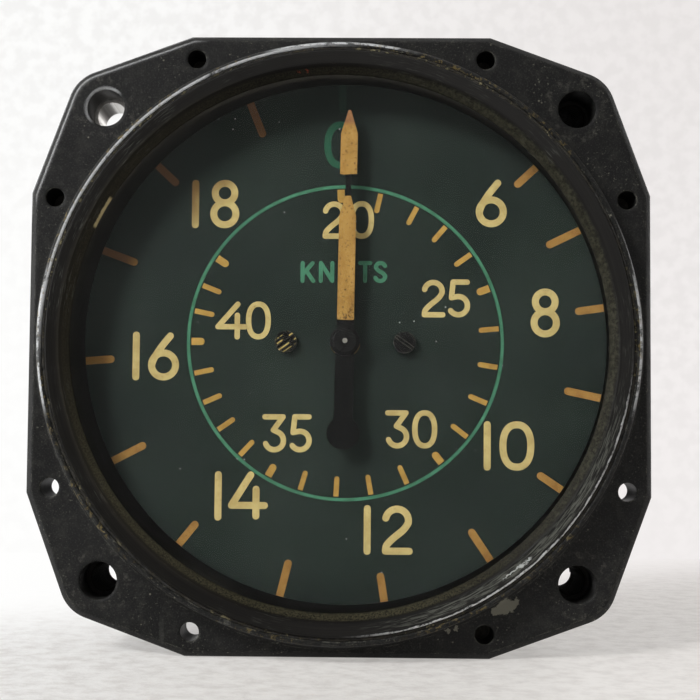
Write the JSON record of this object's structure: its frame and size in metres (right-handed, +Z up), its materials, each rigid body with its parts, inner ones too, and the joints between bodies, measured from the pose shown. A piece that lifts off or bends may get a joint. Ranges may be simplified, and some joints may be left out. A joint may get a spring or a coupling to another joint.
{
  "type": "airspeed indicator",
  "caption": "Panel airspeed indicator: square flanged metal case, glazed dial with one pointer, and a geared capsule movement fed by two rear unions.",
  "frame": {"origin": "middle of the flange's front face, at the centre of the four corner mounting holes", "axes": "+X to the reader's right, +Z up the dial, -Y out of the dial towards the reader"},
  "size_m": [0.0826, 0.0904, 0.0826],
  "materials": {
    "case_paint": "satin",
    "bush_metal": "satin",
    "bezel_enamel": "satin",
    "window": "gloss",
    "rubber": "matte",
    "dial_paint": "matte",
    "pointer_paint": "satin",
    "hub_enamel": "satin",
    "brass": "satin",
    "steel": "satin",
    "fibre": "matte"
  },
  "bodies": {
    "case": {"case": "case_paint", "mounting_bushes": "bush_metal", "bezel_ring": "bezel_enamel", "window_glass": "window", "glass_gasket": "rubber", "dial": "dial_paint", "dial_screws": "brass", "dial_posts": "brass", "hairspring": "steel", "hairspring_stud": "brass", "front_plate": "brass", "middle_plate": "brass", "base_plate": "brass", "front_pillars": "brass", "rear_pillars": "brass", "pillar_screws": "steel", "rear_screws": "steel", "pivot_bushes": "brass", "rocker_bracket": "brass", "bracket_screws": "steel", "capsule_front": "brass", "capsule_back": "brass", "capsule_stem": "brass", "capsule_pipe": "brass", "pitot_union": "brass", "static_union": "brass", "union_washers": "fibre", "union_nuts": "brass"},
    "pointer": {"pointer": "pointer_paint", "pointer_hub": "hub_enamel", "spindle": "brass", "hairspring_collet": "brass"},
    "idler": {"idler_arbor": "steel", "idler_wheel": "brass"},
    "sector": {"sector_arbor": "steel", "sector": "brass", "sector_fork": "brass", "sector_weight": "brass"},
    "rocker": {"rocking_shaft": "steel", "crank_arm": "brass", "drive_arm": "brass"},
    "boss": {"capsule_boss": "brass", "boss_pin": "steel"}
  },
  "joints": [
    {"name": "capsule_expand", "type": "slide", "parent": "case", "child": "boss", "axis": [0, -1, 0], "range_m": [0, 0.00272], "deforming": ["capsule_front"]},
    {"name": "pointer_turn", "type": "hinge", "parent": "case", "child": "pointer", "pos_m": [0.0008, 0, 0.0003], "axis": [0, 1, 0], "range_deg": [-1, 664], "stiffness_Nm_per_rad": 0.000001, "deforming": ["hairspring"]},
    {"name": "idler_turn", "type": "hinge", "parent": "case", "child": "idler", "pos_m": [-0.01193, 0, 0.01303], "axis": [0, 1, 0], "range_deg": [-133, 0.2]},
    {"name": "sector_swing", "type": "hinge", "parent": "case", "child": "sector", "pos_m": [-0.00724, 0, -0.01356], "axis": [0, 1, 0], "range_deg": [-0.1, 16.7]},
    {"name": "rocker_swing", "type": "hinge", "parent": "case", "child": "rocker", "pos_m": [0.0008, 0.033, -0.01356], "axis": [1, 0, 0], "range_deg": [-0.1, 11.32]}
  ],
  "couplings": [
    {"joint": "pointer_turn", "follows": "capsule_expand", "rad_per_m": 4250.7},
    {"joint": "idler_turn", "follows": "capsule_expand", "rad_per_m": -850.14},
    {"joint": "sector_swing", "follows": "capsule_expand", "rad_per_m": 106.27},
    {"joint": "rocker_swing", "follows": "capsule_expand", "rad_per_m": 71.91}
  ]
}
